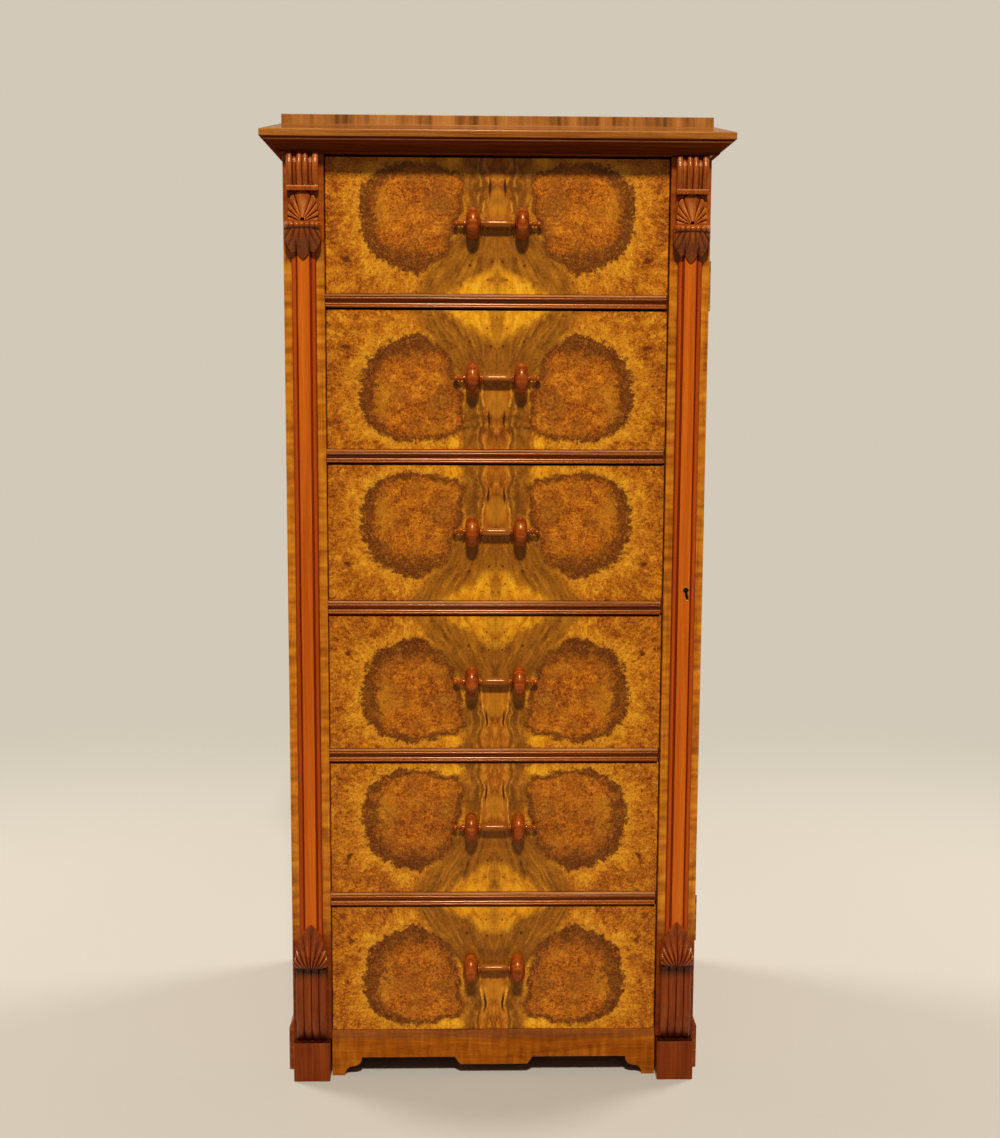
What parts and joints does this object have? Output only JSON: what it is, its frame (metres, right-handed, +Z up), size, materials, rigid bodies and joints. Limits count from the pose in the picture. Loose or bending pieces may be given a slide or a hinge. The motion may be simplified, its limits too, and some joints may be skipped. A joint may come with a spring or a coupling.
{
  "type": "wellington chest",
  "caption": "Tall narrow chest of drawers in burr walnut with a moulded cornice, carved pilasters and turned handles; the hinged right pilaster locks the drawers.",
  "frame": {"origin": "on the floor, in the middle of the chest's footprint box", "axes": "+X to the viewer's right, -Y to the front where the drawers open, +Z up"},
  "size_m": [0.558, 0.435, 1.195],
  "materials": {
    "burr_walnut": "French-polished burr veneer",
    "walnut": "French polish",
    "dark_walnut": "French polish",
    "turned_walnut": "French polish",
    "pine": "bare, aged",
    "drawer_lining": "bare, aged",
    "brass": "aged",
    "steel": "satin"
  },
  "bodies": {
    "carcass": {"left_side": "walnut", "right_side": "walnut", "bottom_board": "pine", "top_board": "pine", "top_slab": "walnut", "back_boards": "pine", "cornice_front": "dark_walnut", "cornice_returns": "dark_walnut", "drawer_rails": "pine", "rail_mouldings": "dark_walnut", "drawer_runners": "pine", "left_stile": "walnut", "left_strip": "walnut", "left_top_corbel": "dark_walnut", "left_bottom_bracket": "dark_walnut", "plinth_blocks": "dark_walnut", "plinth_sides": "dark_walnut", "apron": "walnut", "hinge_leaves_carcass": "brass"},
    "locking_flap": {"flap_board": "walnut", "flap_strip": "walnut", "flap_top_corbel": "dark_walnut", "flap_bottom_bracket": "dark_walnut", "hinge_leaves_flap": "brass", "lock_case": "brass", "keyhole_liner": "brass"},
    "bolt": {"lock_bolt": "steel"},
    "drawer_1": {"drawer_1_front": "burr_walnut", "drawer_1_sides": "drawer_lining", "drawer_1_back": "drawer_lining", "drawer_1_bottom": "drawer_lining", "drawer_1_handle": "turned_walnut"},
    "drawer_2": {"drawer_2_front": "burr_walnut", "drawer_2_sides": "drawer_lining", "drawer_2_back": "drawer_lining", "drawer_2_bottom": "drawer_lining", "drawer_2_handle": "turned_walnut"},
    "drawer_3": {"drawer_3_front": "burr_walnut", "drawer_3_sides": "drawer_lining", "drawer_3_back": "drawer_lining", "drawer_3_bottom": "drawer_lining", "drawer_3_handle": "turned_walnut"},
    "drawer_4": {"drawer_4_front": "burr_walnut", "drawer_4_sides": "drawer_lining", "drawer_4_back": "drawer_lining", "drawer_4_bottom": "drawer_lining", "drawer_4_handle": "turned_walnut"},
    "drawer_5": {"drawer_5_front": "burr_walnut", "drawer_5_sides": "drawer_lining", "drawer_5_back": "drawer_lining", "drawer_5_bottom": "drawer_lining", "drawer_5_handle": "turned_walnut"},
    "drawer_6": {"drawer_6_front": "burr_walnut", "drawer_6_sides": "drawer_lining", "drawer_6_back": "drawer_lining", "drawer_6_bottom": "drawer_lining", "drawer_6_handle": "turned_walnut"}
  },
  "joints": [
    {"name": "flap_swing", "type": "hinge", "parent": "carcass", "child": "locking_flap", "pos_m": [0.2572, -0.1684, 0.6], "axis": [0, 0, 1], "range_deg": [0, 110]},
    {"name": "bolt_slide", "type": "slide", "parent": "locking_flap", "child": "bolt", "axis": [-1, 0, 0], "range_m": [0, 0.008]},
    {"name": "drawer_1_slide", "type": "slide", "parent": "carcass", "child": "drawer_1", "axis": [0, -1, 0], "range_m": [0, 0.28]},
    {"name": "drawer_2_slide", "type": "slide", "parent": "carcass", "child": "drawer_2", "axis": [0, -1, 0], "range_m": [0, 0.28]},
    {"name": "drawer_3_slide", "type": "slide", "parent": "carcass", "child": "drawer_3", "axis": [0, -1, 0], "range_m": [0, 0.28]},
    {"name": "drawer_4_slide", "type": "slide", "parent": "carcass", "child": "drawer_4", "axis": [0, -1, 0], "range_m": [0, 0.28]},
    {"name": "drawer_5_slide", "type": "slide", "parent": "carcass", "child": "drawer_5", "axis": [0, -1, 0], "range_m": [0, 0.28]},
    {"name": "drawer_6_slide", "type": "slide", "parent": "carcass", "child": "drawer_6", "axis": [0, -1, 0], "range_m": [0, 0.28]}
  ]
}
